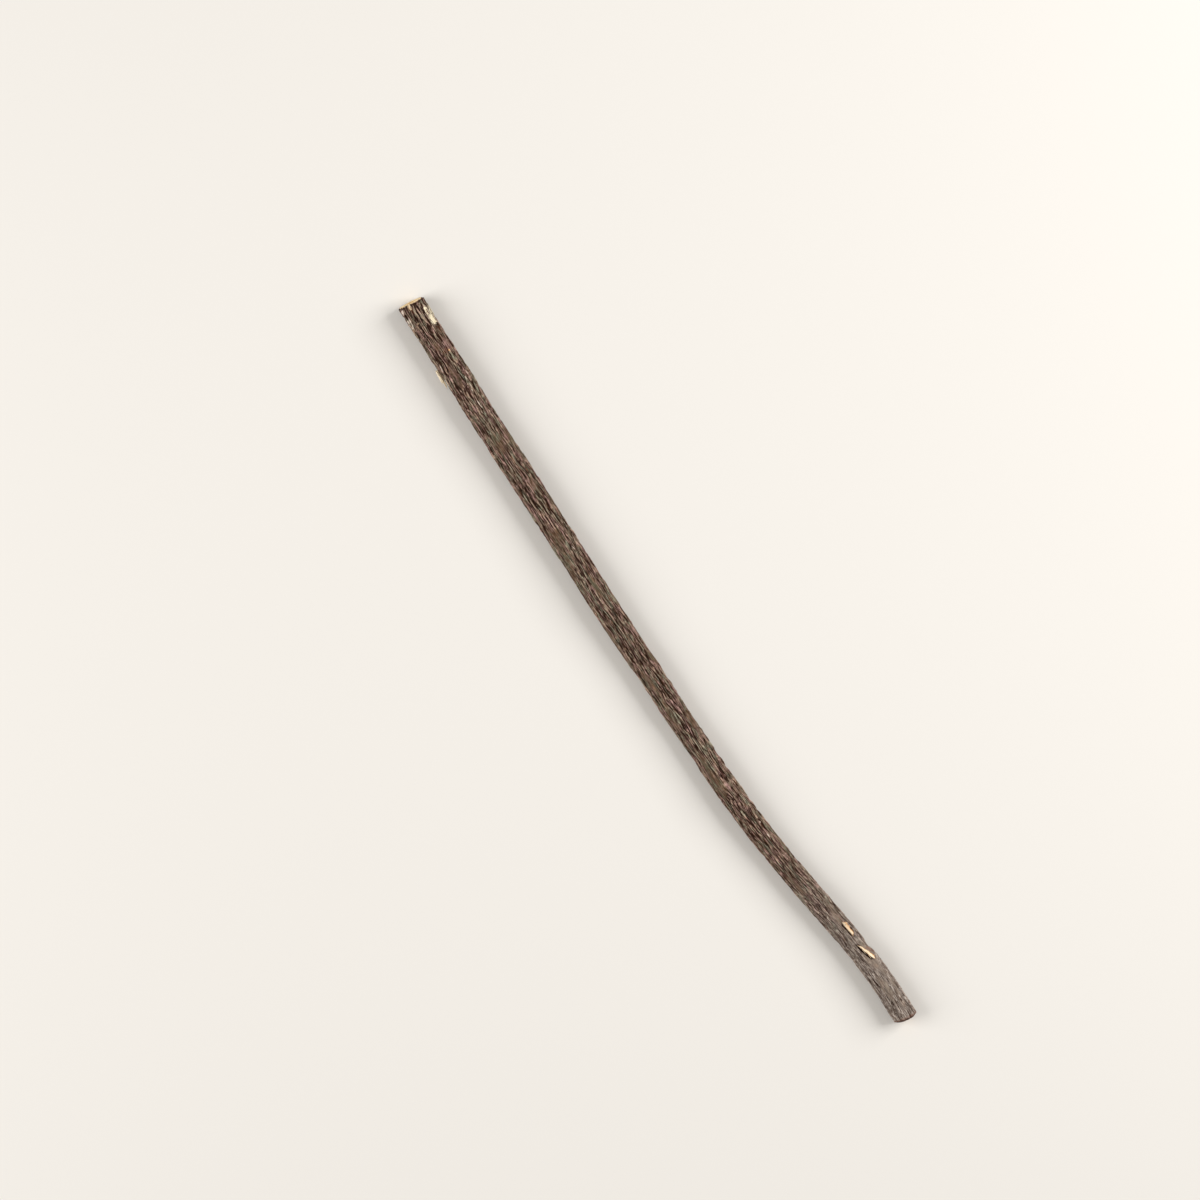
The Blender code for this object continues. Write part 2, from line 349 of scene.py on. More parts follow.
# The scuff: a shallow dent on the -Y side whose pale wood is a painted reflection
radius = sliced(radius, -78.0, 0.16, 16.2, 21.4, 0.8, 0.5, -78.0, 0.5)
taken = bark_surface - radius
ragged = 0.10 * noise(S / 0.7, turn, 64, 51) + 0.05 * noise(S / 0.35, turn, 110, 52)
SCUFF_REFLECTION_FROM, SCUFF_REFLECTION_COVER = 12.0, 0.45  # the scuff, a painted reflection, is less bare than the chip
bare = smooth((taken + ragged * (taken > 0.0) - 0.04) / 0.18) * (1.0 - SCUFF_REFLECTION_COVER * (S > SCUFF_REFLECTION_FROM))
radius += (0.07 * noise(S / 1.6, turn, 96, 53) + 0.07 * noise(S / 3.0, turn, 50, 54)) * bare
BLEACHED_AND_REFLECTION_FROM, BLEACHED_AND_REFLECTION_TO = 1.8, 40.0  # grey and cream instead of orange: partly wood torn long ago, partly painted reflection
bleached = ((S > BLEACHED_AND_REFLECTION_FROM) & (S < BLEACHED_AND_REFLECTION_TO)) * 1.0
radius, bare_a, crack_shade_a = nicked(radius, (173.2, 1.26), (177.1, 1.22), 0.60, 0.46, 0.36, 0.46, 55)
radius, bare_b, crack_shade_b = nicked(radius, (179.5, 0.46), (184.15, 1.62), 0.48, 0.46, 0.58, 0.46, 57)
bare = np.maximum.reduce([bare, bare_a, bare_b])
# The cracks' dark colour is painted shade
crevice = np.maximum(crack_shade_a, crack_shade_b)
# Two beads of bare wood near the upper end, and three holes, two at the heads of the nicks, painted as
# dark spots of shade
BARE_BEADS = [(13.75, 1.58, 14.15, 1.52), (4.9, -1.36, 5.3, -1.42)]
bead = 0.9 * streaked(BARE_BEADS, 0.44, 0.5)
bare = np.maximum(bare, bead)
bleached = bleached * (bead < 0.1)
HOLES = [(174.05, 1.43, 174.2, 1.43), (14.1, 1.26, 14.4, 1.20), (179.3, 0.62, 179.9, 0.95)]
crevice = np.maximum(crevice, 0.9 * streaked(HOLES, 0.24, 0.2))
# Streaks of grey weathering left on the chip
GRIME = [(3.0, 2.30, 4.4, 2.22), (4.35, 2.75, 4.65, 1.85), (2.2, 2.90, 4.0, 2.95)]
grime = streaked(GRIME, 0.58, 0.4, radius * np.sin(A)) * (1.0 + 0.7 * noise(S / 0.6, turn, 60, 58))
bare = bare * np.clip(1.0 - 0.9 * grime, 0.0, 1.0)
# Rusty inner bark, in a few places and round the lower cut
RUSTY_MARKS = [
    (13.2, 2.1, 14.2, 0.0), (8.0, 2.35, 9.6, 2.40), (181.0, 1.75, 182.8, 2.30), (173.2, 1.25, 174.5, 1.32),
    (0.8, -0.9, 2.4, -0.7),
]
rusty = np.maximum(streaked(RUSTY_MARKS, 0.8, 0.5), smooth((S - LENGTH + 1.0) / 0.4))

# The upper end's notch, which parts the cut into two lobes and shows its wood, and three pits beside it,
# darkened with painted shade
PITS = [  # the angle it faces, how deep, how far it reaches along, and how many degrees it spreads
    (340.0, 0.75, 2.9, 11.0), (324.0, 0.34, 0.9, 4.5), (310.0, 0.38, 1.1, 4.0), (296.0, 0.30, 0.8, 4.0),
]
for number, (facing, depth, reach, spread) in enumerate(PITS):
    off = np.abs((A - math.radians(facing) + math.pi) % FULL_TURN - math.pi)
    pit = smooth(1.0 - S / reach) * smooth(1.35 - off / math.radians(spread))
    radius -= depth * pit
    if number == 0:
        bare = np.maximum(bare, smooth((pit - 0.38) / 0.25))
    else:
        crevice = np.maximum(crevice, 0.8 * smooth(1.6 * pit))
# The lower end's edge is worn round, most at its two sides: where each faces, and how much more is off there
EDGE_WEAR, EDGE_REACH = 0.30, 0.55
CORNERS = [(85.0, 0.55), (275.0, 0.45)]
wear = np.full_like(S, EDGE_WEAR)
for facing, more in CORNERS:
    wear += more * np.clip(np.cos(A - math.radians(facing)), 0.0, 1.0) ** 2
radius -= wear * smooth(1.0 - (LENGTH - S) / EDGE_REACH)
# Near the lower cut the bark is rubbed even: each point moves towards the mean of those near it
EVENED_RUN, EVENED_SPREAD = 1.0, 0.22  # millimetres along, radians around
around_off = (angle[:, None] - angle[None, :] + math.pi) % FULL_TURN - math.pi
nearness = np.exp(-((around_off / EVENED_SPREAD) ** 2))
evened = (radius @ nearness) / nearness.sum(axis=0)
radius += 0.75 * smooth(1.0 - (LENGTH - S) / EVENED_RUN) * (evened - radius)
# The bark's edge is darkened all round both cuts: painted shade
UPPER_EDGE_SHADE, LOWER_EDGE_SHADE = 0.62, 0.58
rim = np.maximum(smooth((UPPER_EDGE_SHADE - S) / 0.25), 0.9 * smooth((S - LENGTH + LOWER_EDGE_SHADE) / 0.25))
crevice = np.maximum(crevice, rim * (0.75 + 0.4 * noise(S / 0.6, turn, 44, 59)) * (1.0 - bare))
crevice = np.clip(crevice, 0.0, 1.0)

# The stick laid down.
# It is bent with its middle line, rests on its own high points, and is sawn at each end along a flat plane
# that the last rings lean with. The whole is one closed skin: bark, and a sawn face at each end.
UPPER_LEAN = (0.09, -0.19)  # how far each cut leans sideways and up, as a slope
LOWER_LEAN = (0.14, 0.0)
CUT_REACH = 9.0  # how far from the end the rings still lean with the cut
CENTRE = np.array([99.82185, -1.64696, 0.0])  # the part is centred on its own box


def placed(radius, S, A):
    """Points at that distance from the middle line, in metres."""
    bend = np.arctan(along_growth(1, S + 0.5) - along_growth(1, S - 0.5))
    middle_height = FLATNESS * along_growth(2, S) - SUNK
    across = radius * np.sin(A)
    height = np.maximum(radius * np.cos(A) + middle_height, 0.0)
    up = height - middle_height
    shift = smooth(1.0 - S / CUT_REACH) * (UPPER_LEAN[0] * across - UPPER_LEAN[1] * up)
    shift = shift + smooth(1.0 - (LENGTH - S) / CUT_REACH) * (LOWER_LEAN[0] * across + LOWER_LEAN[1] * up)
    x = S + shift * np.cos(bend) - across * np.sin(bend)
    y = along_growth(1, S) + shift * np.sin(bend) + across * np.cos(bend)
    return (np.stack([x, y, height], axis=-1) - CENTRE) * MM


# The sawn faces, ring by ring from the bark in to the pith, with saw marks and drying checks
CUT_SHARES = np.array([
    0.96, 0.925, 0.90, 0.87, 0.81, 0.74, 0.66, 0.58, 0.50, 0.42, 0.34, 0.26, 0.18, 0.10, 0.04,
])
BARK_RINGS = 3  # the first of them, which step from the bark's edge out to the sawn wood
CHECKS = [(0.9, 0.75, 0.11), (2.7, 0.55, 0.09), (4.4, 0.85, 0.12), (5.6, 0.45, 0.08)]  # facing, reach, depth
CHECK_WIDTH = 0.10
SAW_DEPTH, SAW_SPACING = 0.014, 0.33
cut_points, cut_radius, cut_depth, cut_angle = [], [], [], []
for ring, sawn_at, bark_at, way in ((0, 0.0, BARK_START, 1.0), (-1, LENGTH, BARK_END, -1.0)):
    wood_edge = (nearness @ radius[ring]) / nearness.sum(axis=1)
    for number, share in enumerate(CUT_SHARES):
        edge = radius[ring]
        round_edge = np.full(AROUND, np.median(edge))
        out = share * (edge * share + round_edge * (1.0 - share))
        step_in = max(0.0, 1.0 - number / BARK_RINGS)
        at = sawn_at + (bark_at - sawn_at) * step_in
        saw = SAW_DEPTH * np.sin(out * np.sin(angle + 0.5) * FULL_TURN / SAW_SPACING)
        saw *= number >= BARK_RINGS
        dig = 0.0
        for facing, reach, depth in CHECKS:
            off = np.abs(np.sin((angle - facing) / 2.0)) * out / CHECK_WIDTH
            dig += depth * smooth(1.3 - off) * smooth((reach - share) / 0.2)
        dig *= share > 0.05
        cut_points.append(placed(out, np.full(AROUND, at) + way * (saw + dig), angle))
        cut_radius.append(out)
        cut_depth.append(wood_edge - out)
        cut_angle.append(angle)
pith = [placed(np.zeros(1), np.full(1, at), np.zeros(1)) for at in (0.0, LENGTH)]
bark_skin = placed(radius, S, A).reshape(-1, 3)
points = np.concatenate([bark_skin, np.concatenate(cut_points), np.concatenate(pith)])

rings = len(along)
i, j = np.meshgrid(np.arange(rings - 1), np.arange(AROUND), indexing="ij")
k = (j + 1) % AROUND
near, far = i * AROUND, (i + 1) * AROUND
bark_quads = np.stack([near + j, far + j, far + k, near + k], -1).reshape(-1, 4)
here = np.arange(AROUND)
after = (here + 1) % AROUND
faces = bark_quads.tolist()
cut_faces_start = len(faces)
for number, (before, flip) in enumerate(((0, False), ((rings - 1) * AROUND, True))):
    for ring in range(len(CUT_SHARES)):
        inner = (rings + number * len(CUT_SHARES) + ring) * AROUND
        quads = np.stack([before + here, before + after, inner + after, inner + here], -1)
        faces += (quads[:, ::-1] if flip else quads).tolist()
        before = inner
    tip = len(points) - 2 + number
    fan = np.stack([before + here, before + after, np.full(AROUND, tip)], -1)
    faces += (fan[:, ::-1] if flip else fan).tolist()

mesh = bpy.data.meshes.new("stick")
mesh.from_pydata(points.tolist(), [], faces)
mesh.shade_smooth()
mesh.set_sharp_from_angle(angle=math.radians(70.0))
stick = bpy.data.objects.new("stick", mesh)
scene.collection.objects.link(stick)
bark_points = rings * AROUND


def note(mesh, name, values, rest=0.0):
    """Keeps a number for each point of a mesh, for the materials. Points past the end of values get rest."""
    full = np.full(len(mesh.vertices), rest, dtype=np.float32)
    values = np.asarray(values, dtype=np.float32).reshape(-1)
    full[: len(values)] = values
    mesh.attributes.new(name, "FLOAT", "POINT").data.foreach_set("value", full)


def unwrapped(mesh, corners):
    """Keeps each face corner's place on a flat picture of the piece, so that its colours can be baked."""
    mesh.uv_layers.new(name="OFBake").data.foreach_set("uv", np.asarray(corners, np.float32).reshape(-1))


def note_grain(mesh, s, grain_turn, out):
    """Keeps each point's place along and across the unbent grain, for patterns that follow the fibres."""
    a = np.asarray(grain_turn) * FULL_TURN
    place = np.stack([s, out * np.sin(a), out * np.cos(a)], -1).astype(np.float32)
    mesh.attributes.new("grain", "FLOAT_VECTOR", "POINT").data.foreach_set("vector", place.reshape(-1))


note(mesh, "relief", np.clip(0.5 + relief / 0.30, 0.0, 1.0), 0.5)
note(mesh, "bare", bare)
note(mesh, "crevice", crevice)
note(mesh, "rusty", rusty)
note(mesh, "calm", calm)
note(mesh, "slit", slit)
note(mesh, "lip", lip)
note(mesh, "thread", thread)
note(mesh, "old", old)
note(mesh, "bleached", bleached)
# How far each sawn point is from the pith, and from the bark
cut_radius, cut_depth, cut_turn = (np.concatenate(v) for v in (cut_radius, cut_depth, cut_angle))
note(mesh, "cut_radius", np.concatenate([np.full(bark_points, 3.0), cut_radius]))
note(mesh, "cut_depth", np.concatenate([np.zeros(bark_points), cut_depth]), 3.0)
GRAIN_RADIUS = 2.93  # how far from the pith the bark and its strips lie in the grain
ends_s = np.repeat([0.0, LENGTH], len(CUT_SHARES) * AROUND)
note_grain(
    mesh,
    np.concatenate([S.reshape(-1), ends_s, [0.0, LENGTH]]),
    np.concatenate([flow.reshape(-1), cut_turn / FULL_TURN, [0.0, 0.0]]),
    np.concatenate([np.full(bark_points, GRAIN_RADIUS), cut_radius, [0.0, 0.0]]),
)

# The bark unrolled in three lengths, one over the other, with the two sawn faces as discs above them
LENGTHS, ROW_HEIGHT, ROW_STEP, DISC = 3, 0.288, 0.298, 0.046
MARGIN, ROW_WIDTH = 0.004, 0.992
cuts_at = np.searchsorted(along, np.linspace(along[0], along[-1], LENGTHS + 1)[1:-1])
cuts_at = np.concatenate([[0], cuts_at, [rings - 1]])
row = np.searchsorted(cuts_at, np.arange(rings - 1), side="right") - 1
row_start, row_end = along[cuts_at[row]], along[cuts_at[row + 1]]
corner_s = np.stack([along[:-1], along[1:], along[1:], along[:-1]], -1)
corner_u = MARGIN + ROW_WIDTH * (corner_s - row_start[:, None]) / (row_end - row_start)[:, None]
turns = np.append(angle / FULL_TURN, 1.0)
corner_turn = np.stack([turns[:-1], turns[:-1], turns[1:], turns[1:]], -1)
bark_corners = np.zeros((rings - 1, AROUND, 4, 2))
bark_corners[..., 0] = corner_u[:, None, :]
bark_corners[..., 1] = MARGIN + ROW_STEP * row[:, None, None] + ROW_HEIGHT * corner_turn[None]
corners = [bark_corners.reshape(-1, 2)]
for number, mirror in enumerate((-1.0, 1.0)):
    disc = np.stack([mirror * np.sin(angle), np.cos(angle)], -1) * DISC
    middle = np.array([0.06 + 0.11 * number, 0.948])
    shares = np.concatenate([[1.0], CUT_SHARES])
    for outer, inner in zip(shares[:-1], shares[1:]):
        quads = np.stack([outer * disc, outer * disc[after], inner * disc[after], inner * disc], 1)
        corners.append((middle + (quads[:, ::-1] if number else quads)).reshape(-1, 2))
    fan = np.stack([shares[-1] * disc, shares[-1] * disc[after], 0.0 * disc], 1)
    corners.append((middle + (fan[:, ::-1] if number else fan)).reshape(-1, 2))
unwrapped(mesh, np.concatenate(corners))

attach(stick, "root")
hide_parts("chew_stick")

# Loose strips of bark.
# Weathering lifts narrow strips of the bark along its slits: 1 to 5 mm long, 0.1 to 0.2 mm wide, stuck down
# along most of their length, with one edge or tip standing a little clear. Many are paler than the skin.
STATIONS = np.array([-0.84, -0.52, -0.18, 0.18, 0.52, 0.84])  # where a strip's cross sections stand, -1 to 1
SECTION_ACROSS = np.array([-1.0, -0.45, 0.5, 1.0, 0.1])  # the five corners of each, in half widths
SECTION_UP = np.array([-0.1, 0.8, 0.9, 0.1, -1.0])  # and in half thicknesses


def column_of(turn):
    """Which of the net's columns lies there, counted with its fraction."""
    return np.interp(turn % 1.0, np.append(angle / FULL_TURN, 1.0), np.arange(AROUND + 1))


def surface_at(s, turn):
    """The finished surface's distance from the middle line, between the net's points."""
    row = np.clip(np.searchsorted(along, s, side="right") - 1, 0, rings - 2)
    f = np.clip((s - along[row]) / (along[row + 1] - along[row]), 0.0, 1.0)
    column = column_of(turn)
    col = np.floor(column).astype(int)
    g = column - col
    col, nxt = col % AROUND, (col + 1) % AROUND
    near = radius[row, col] * (1 - g) + radius[row, nxt] * g
    far = radius[row + 1, col] * (1 - g) + radius[row + 1, nxt] * g
    return near * (1 - f) + far * f


def kept_at(values, s, turn):
    """A value of the net at the nearest point."""
    row = np.clip(np.searchsorted(along, s), 0, rings - 1)
    return values[row, np.round(column_of(turn)).astype(int) % AROUND]


def turn_of(s, grain_turn):
    """Where a fibre of the grain lies at that distance along."""
    at = grain_turn
    for _ in range(4):
        at = grain_turn - sway_at(s, at) / GIRTH
    return at


def strips(name, seed, s, w, length, wide, thick, stray=0.0, tip_a=0.0, tip_b=0.0, lean=0.0, sit=0.1):
    """One mesh of many tapered strips laid along the grain, each at s along and w around. stray is how far
    it wanders sideways, tip_a and tip_b how far its tips lift, lean how much higher one edge is, and sit how
    far its middle stands off the surface. All are in millimetres, except w."""
    count = len(s)
    rng = np.random.default_rng(seed)
    values = (length, wide, thick, stray, tip_a, tip_b, lean, sit)
    each = [np.broadcast_to(np.asarray(value, float), (count,))[:, None] for value in values]
    length, wide, thick, stray, tip_a, tip_b, lean, sit = each
    t = np.concatenate([[-1.0], STATIONS, [1.0]])[None, :]
    s_t = s[:, None] + t * length / 2.0
    w_t = w[:, None] + (stray * t + rng.normal(0.0, 0.10, (count, t.size)) * wide) / GIRTH
    turn_t = turn_of(s_t, w_t)
    ground = surface_at(s_t, turn_t)
    ground = 0.5 * ground + 0.5 * ground.mean(axis=1, keepdims=True)
    centre = ground + sit + tip_a * np.clip(-t, 0, 1) ** 2 + tip_b * np.clip(t, 0, 1) ** 2
    swell = (1.0 - np.abs(STATIONS) ** 1.8) ** 0.9 * rng.uniform(0.65, 1.15, (count, STATIONS.size))
    swell = swell[:, :, None]
    off = SECTION_ACROSS * wide[:, :, None] / 2.0 * swell
    up = SECTION_UP * thick[:, :, None] / 2.0 * swell + lean[:, :, None] * SECTION_ACROSS * swell
    body_s = np.broadcast_to(s_t[:, 1:-1, None], off.shape)
    body_turn = turn_t[:, 1:-1, None] + off / GIRTH
    body = placed(centre[:, 1:-1, None] + up, body_s, FULL_TURN * body_turn)
    ends = placed(centre[:, [0, -1]], s_t[:, [0, -1]], FULL_TURN * turn_t[:, [0, -1]])
    loops, section = len(STATIONS), len(SECTION_ACROSS)
    per = loops * section + 2
    points = np.concatenate([body.reshape(count, loops * section, 3), ends], axis=1).reshape(-1, 3)
    a = np.arange(loops - 1)[:, None] * section + np.arange(section)[None, :]
    b = np.arange(loops - 1)[:, None] * section + (np.arange(section)[None, :] + 1) % section
    quads = np.stack([a, a + section, b + section, b], -1).reshape(-1, 4)
    c = np.arange(section)
    d = (c + 1) % section
    last = (loops - 1) * section
    tips = np.concatenate([
        np.stack([np.full(section, loops * section), c, d], -1),
        np.stack([np.full(section, loops * section + 1), last + d, last + c], -1),
    ])
    starts = (np.arange(count) * per)[:, None, None]
    faces = (quads[None] + starts).reshape(-1, 4).tolist() + (tips[None] + starts).reshape(-1, 3).tolist()
    mesh = bpy.data.meshes.new(name)
    mesh.from_pydata(points.tolist(), [], faces)
    mesh.shade_smooth()
    # Unwrapped in a grid, one cell to a strip
    u, v = (t[0] + 1.0) / 2.0, np.arange(section + 1) / section
    ring, side = np.meshgrid(np.arange(1, loops), np.arange(section), indexing="ij")
    quad_uv = np.stack([u[[ring, ring + 1, ring + 1, ring]], v[[side, side, side + 1, side + 1]]], -1)
    quad_uv = quad_uv.transpose(1, 2, 0, 3).reshape(-1, 2)
    near, far = np.full(section, u[1]), np.full(section, u[-2])
    half = np.full(section, 0.5)
    tip_uv = np.concatenate([
        np.stack([0.0 * half, half, near, v[:-1], near, v[1:]], -1),
        np.stack([2.0 * half, half, far, v[1:], far, v[:-1]], -1),
    ]).reshape(-1, 2)
    columns = max(1, round(math.sqrt(count / 6.0)))
    cell = np.array([1.0 / columns, 1.0 / math.ceil(count / columns)])
    corner = np.stack([np.arange(count) % columns, np.arange(count) // columns], -1)[:, None] + [0.03, 0.08]
    in_cells = [((corner + uv * [0.94, 0.84]) * cell).reshape(-1, 2) for uv in (quad_uv, tip_uv)]
    unwrapped(mesh, np.concatenate(in_cells))
    grain_s = np.concatenate([body_s.reshape(count, -1), s_t[:, [0, -1]]], axis=1).reshape(-1)
    body_w = (w_t[:, 1:-1, None] + off / GIRTH).reshape(count, -1)
    grain_w = np.concatenate([body_w, w_t[:, [0, -1]]], axis=1).reshape(-1)
    note_grain(mesh, grain_s, grain_w, np.full(len(grain_s), GRAIN_RADIUS))
    piece = bpy.data.objects.new(name, mesh)
    scene.collection.objects.link(piece)
    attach(piece, "root")
    return mesh, per


rng = np.random.default_rng(61)
TRIES = 4200
s = rng.uniform(1.2, LENGTH - 1.2, TRIES)
w = rng.uniform(0.0, 1.0, TRIES)
length = 1.2 + 4.2 * rng.beta(1.5, 3.0, TRIES)
wide = rng.uniform(0.10, 0.22, TRIES)
chance = rng.uniform(0.0, 1.0, TRIES)
tone = rng.beta(2.0, 1.6, TRIES)
stray = rng.normal(0.0, 0.10, TRIES)
lean = rng.choice([-1.0, 1.0], TRIES) * rng.uniform(0.01, 0.06, TRIES)
tips = 0.24 * rng.uniform(0.0, 1.0, (2, TRIES)) ** 5
middle = turn_of(s, w)
spoilt = np.zeros(TRIES, bool)
for reach in (-0.5, -0.25, 0.0, 0.25, 0.5):
    at = s + reach * length
    spoilt |= kept_at(np.maximum(bare, crevice), at, turn_of(at, w)) > 0.02
LOWEST = 0.25  # no strip lies where the stick rests
low = surface_at(s, middle) * np.cos(FULL_TURN * middle) + FLATNESS * along_growth(2, s) - SUNK < LOWEST
here_calm, here_old = kept_at(calm, s, middle), kept_at(old, s, middle)
keep = ~spoilt & ~low & (chance > 0.85 * here_calm) & (chance > 0.42 * here_old)
keep &= (s - length / 2.0 > 0.6) & (s + length / 2.0 < LENGTH - 0.5)
mesh_strips, per = strips(
    "bark_strips", 62, s[keep], w[keep], length[keep], wide[keep], 0.10,
    stray=stray[keep], tip_a=tips[0][keep], tip_b=tips[1][keep], lean=lean[keep], sit=0.005,
)
note(mesh_strips, "relief", np.repeat(0.42 + 0.36 * tone[keep], per))
note(mesh_strips, "lip", np.repeat(0.9 * (tone[keep] > 0.5) * tone[keep], per))
note(mesh_strips, "slit", np.repeat(0.5 * (tone[keep] < 0.18), per))
note(mesh_strips, "old", np.repeat(here_old[keep], per))
for name in ("bare", "crevice", "rusty", "calm", "thread", "bleached"):
    note(mesh_strips, name, [])

# Splinters of wood.
# Where the bark is off, and round the sawn rims, single fibres of pale wood stand up, 0.4 to 3.4 mm long and
# 0.05 to 0.18 mm wide. One long pale sliver stands off the -Y side beside the scuff, both a painted
# reflection shaped as torn wood.
def scattered(count, s_range, turn_range, length_range, wide_range, seed):
    """Random places, lengths and widths for splinters in one area."""
    rng = np.random.default_rng(seed)
    ranges = (s_range, turn_range, length_range, wide_range)
    return [rng.uniform(low, high, count) for low, high in ranges]


# The chip, the first nick, the second nick's two halves, the scuff, and the rims of the two cuts. After each
# group's places come how far its middles and both tips stand up, and how bleached it is, which is partly a
# painted reflection.
groups = [
    (*scattered(34, (2.6, 6.0), (0.105, 0.285), (0.9, 3.4), (0.08, 0.18), 71), 0.02, 0.10, 0.12, 1.0),
    (*scattered(12, (174.0, 176.4), (0.080, 0.094), (0.8, 2.2), (0.08, 0.14), 72), 0.02, 0.05, 0.05, 0.0),
    (*scattered(7, (180.6, 181.6), (0.053, 0.063), (0.8, 2.0), (0.07, 0.12), 73), 0.02, 0.05, 0.05, 0.0),
    (*scattered(7, (182.2, 183.2), (0.074, 0.086), (0.8, 2.0), (0.07, 0.12), 74), 0.02, 0.05, 0.05, 0.0),
    (*scattered(12, (17.6, 20.6), (0.755, 0.805), (0.9, 2.6), (0.08, 0.16), 75), 0.02, 0.04, 0.08, 1.0),
    (*scattered(16, (0.30, 0.60), (0.0, 1.0), (0.4, 1.3), (0.05, 0.11), 76), -0.10, -0.05, 0.02, 0.0),
    (*scattered(12, (199.3, 199.5), (0.0, 1.0), (0.4, 0.9), (0.05, 0.10), 77), -0.10, 0.02, -0.05, 0.0),
]
s, w, length, wide, sit, tip_a, tip_b, splinter_bleached_and_reflection = (
    np.concatenate([np.broadcast_to(g[n], len(g[0])) for g in groups]) for n in range(8)
)
turned = w + sway_at(s, w) / GIRTH
mesh_splinters, per = strips("splinters", 63, s, turned, length, wide, 0.10, 0.0, tip_a, tip_b, 0.0, sit)
note(mesh_splinters, "bare", np.repeat(np.random.default_rng(78).uniform(0.85, 1.20, len(s)), per))
note(mesh_splinters, "bleached", np.repeat(splinter_bleached_and_reflection, per))
# The sliver, a painted reflection, is a bundle of fibres that start together at its upper tip, each
# shorter than the last
REFLECTION_SLIVER_START, REFLECTION_SLIVER_TURN, FIBRES = 16.35, 0.757, 14
length = np.linspace(5.2, 1.9, FIBRES)
rng = np.random.default_rng(65)
reflection_sliver_s = REFLECTION_SLIVER_START + length / 2.0 + rng.uniform(-0.15, 0.15, FIBRES)
reflection_sliver_turn = REFLECTION_SLIVER_TURN + rng.uniform(-0.22, 0.22, FIBRES) / GIRTH
sit = rng.permutation(np.linspace(0.25, 0.88, FIBRES))
sit[:3] = 0.50, 0.66, 0.40
turned = reflection_sliver_turn + sway_at(reflection_sliver_s, reflection_sliver_turn) / GIRTH
mesh_reflection_sliver, per = strips("reflection_sliver", 64, reflection_sliver_s, turned, length, 0.34, 0.36, 0.05, -0.08, 0.08, 0.0, sit)
note(mesh_reflection_sliver, "bare", [], 1.20)
note(mesh_reflection_sliver, "bleached", [], 0.20)
for splinter_mesh in (mesh_splinters, mesh_reflection_sliver):
    for name in ("relief", "lip", "thread", "slit", "old", "crevice", "rusty", "calm"):
        note(splinter_mesh, name, [])


# The bark's finish.
# Dry, weathered bark with no gloss: dull grey brown, darker in its slits, furrows and hollows and paler on
# its ridges, threads and lips, partly its own tone and partly painted shade and highlight, with greenish and
# pinkish patches. Where it is torn off, pale cream wood shows, with orange streaks. The cracks, pits, holes
# and the bark's edge at the cuts are painted dark as shade.
def linear(hex_colour):
    """An sRGB hex colour as linear light."""
    parts = [int(hex_colour[n : n + 2], 16) / 255.0 for n in (1, 3, 5)]
    return tuple(c / 12.92 if c <= 0.04045 else ((c + 0.055) / 1.055) ** 2.4 for c in parts) + (1.0,)


def add(tree, kind, settings=None, **inputs):
    """Adds a node with its settings, and each input's value or link. An underscore in an input's name is a
    space, and one before a number means the input of that number."""
    node = tree.nodes.new(kind)
    for name, value in (settings or {}).items():
        if name == "stops":
            ramp = node.color_ramp
            while len(ramp.elements) < len(value):
                ramp.elements.new(0.5)
            for element, (place, colour) in zip(ramp.elements, value):
                element.position = place
                element.color = linear(colour) if isinstance(colour, str) else (colour,) * 3 + (1.0,)
        else:
            setattr(node, name, value)
    for name, value in inputs.items():
        key = int(name[1:]) if name[0] == "_" else name.replace("_", " ")
        if isinstance(value, bpy.types.NodeSocket):
            tree.links.new(value, node.inputs[key])
        else:
            node.inputs[key].default_value = value
    return node


def new_material(name):
    material = bpy.data.materials.new(name)
    material.use_nodes = True
    material.node_tree.nodes.clear()
    return material, material.node_tree


TIMES = {"operation": "MULTIPLY"}
CLAMPED_TIMES = {"operation": "MULTIPLY", "use_clamp": True}
TIMES_PLUS = {"operation": "MULTIPLY_ADD"}


def sums(tree, start, *terms):
    """start plus each term's socket times its number, as a socket."""
    total = start
    for socket, share in terms:
        total = add(tree, "ShaderNodeMath", TIMES_PLUS, _0=socket, _1=share, _2=total).outputs[0]
    return total


def grained(tree, grain, per_mm, detail=3.0):
    """Noise with that many features to the millimetre along the fibres, and across them."""
    scale = (per_mm[0], per_mm[1], per_mm[1])
    place = add(tree, "ShaderNodeVectorMath", TIMES, _0=grain, _1=scale).outputs[0]
    pattern = add(tree, "ShaderNodeTexNoise", Vector=place, Scale=1.0, Detail=detail, Roughness=0.6)
    return pattern.outputs["Fac"]


def covered(tree, under, over, share):
    """One colour over another, by a share."""
    over = linear(over) if isinstance(over, str) else over
    under = linear(under) if isinstance(under, str) else under
    return add(tree, "ShaderNodeMix", {"data_type": "RGBA"}, _0=share, _6=under, _7=over).outputs[2]


bark, tree = new_material("weathered_twig_bark")
noted = {
    name: add(tree, "ShaderNodeAttribute", {"attribute_name": name}).outputs["Fac"]
    for name in ("relief", "bare", "crevice", "rusty", "calm", "slit", "lip", "thread", "old", "bleached")
}
grain = add(tree, "ShaderNodeAttribute", {"attribute_name": "grain"}).outputs["Vector"]
fibres = grained(tree, grain, (0.55, 7.0), 4.0)
specks = grained(tree, grain, (2.2, 4.0))
mottle = grained(tree, grain, (0.45, 0.9))
blotches = grained(tree, grain, (0.9, 1.6))
streaks = grained(tree, grain, (0.30, 2.5))
patches = grained(tree, grain, (0.28, 1.3))
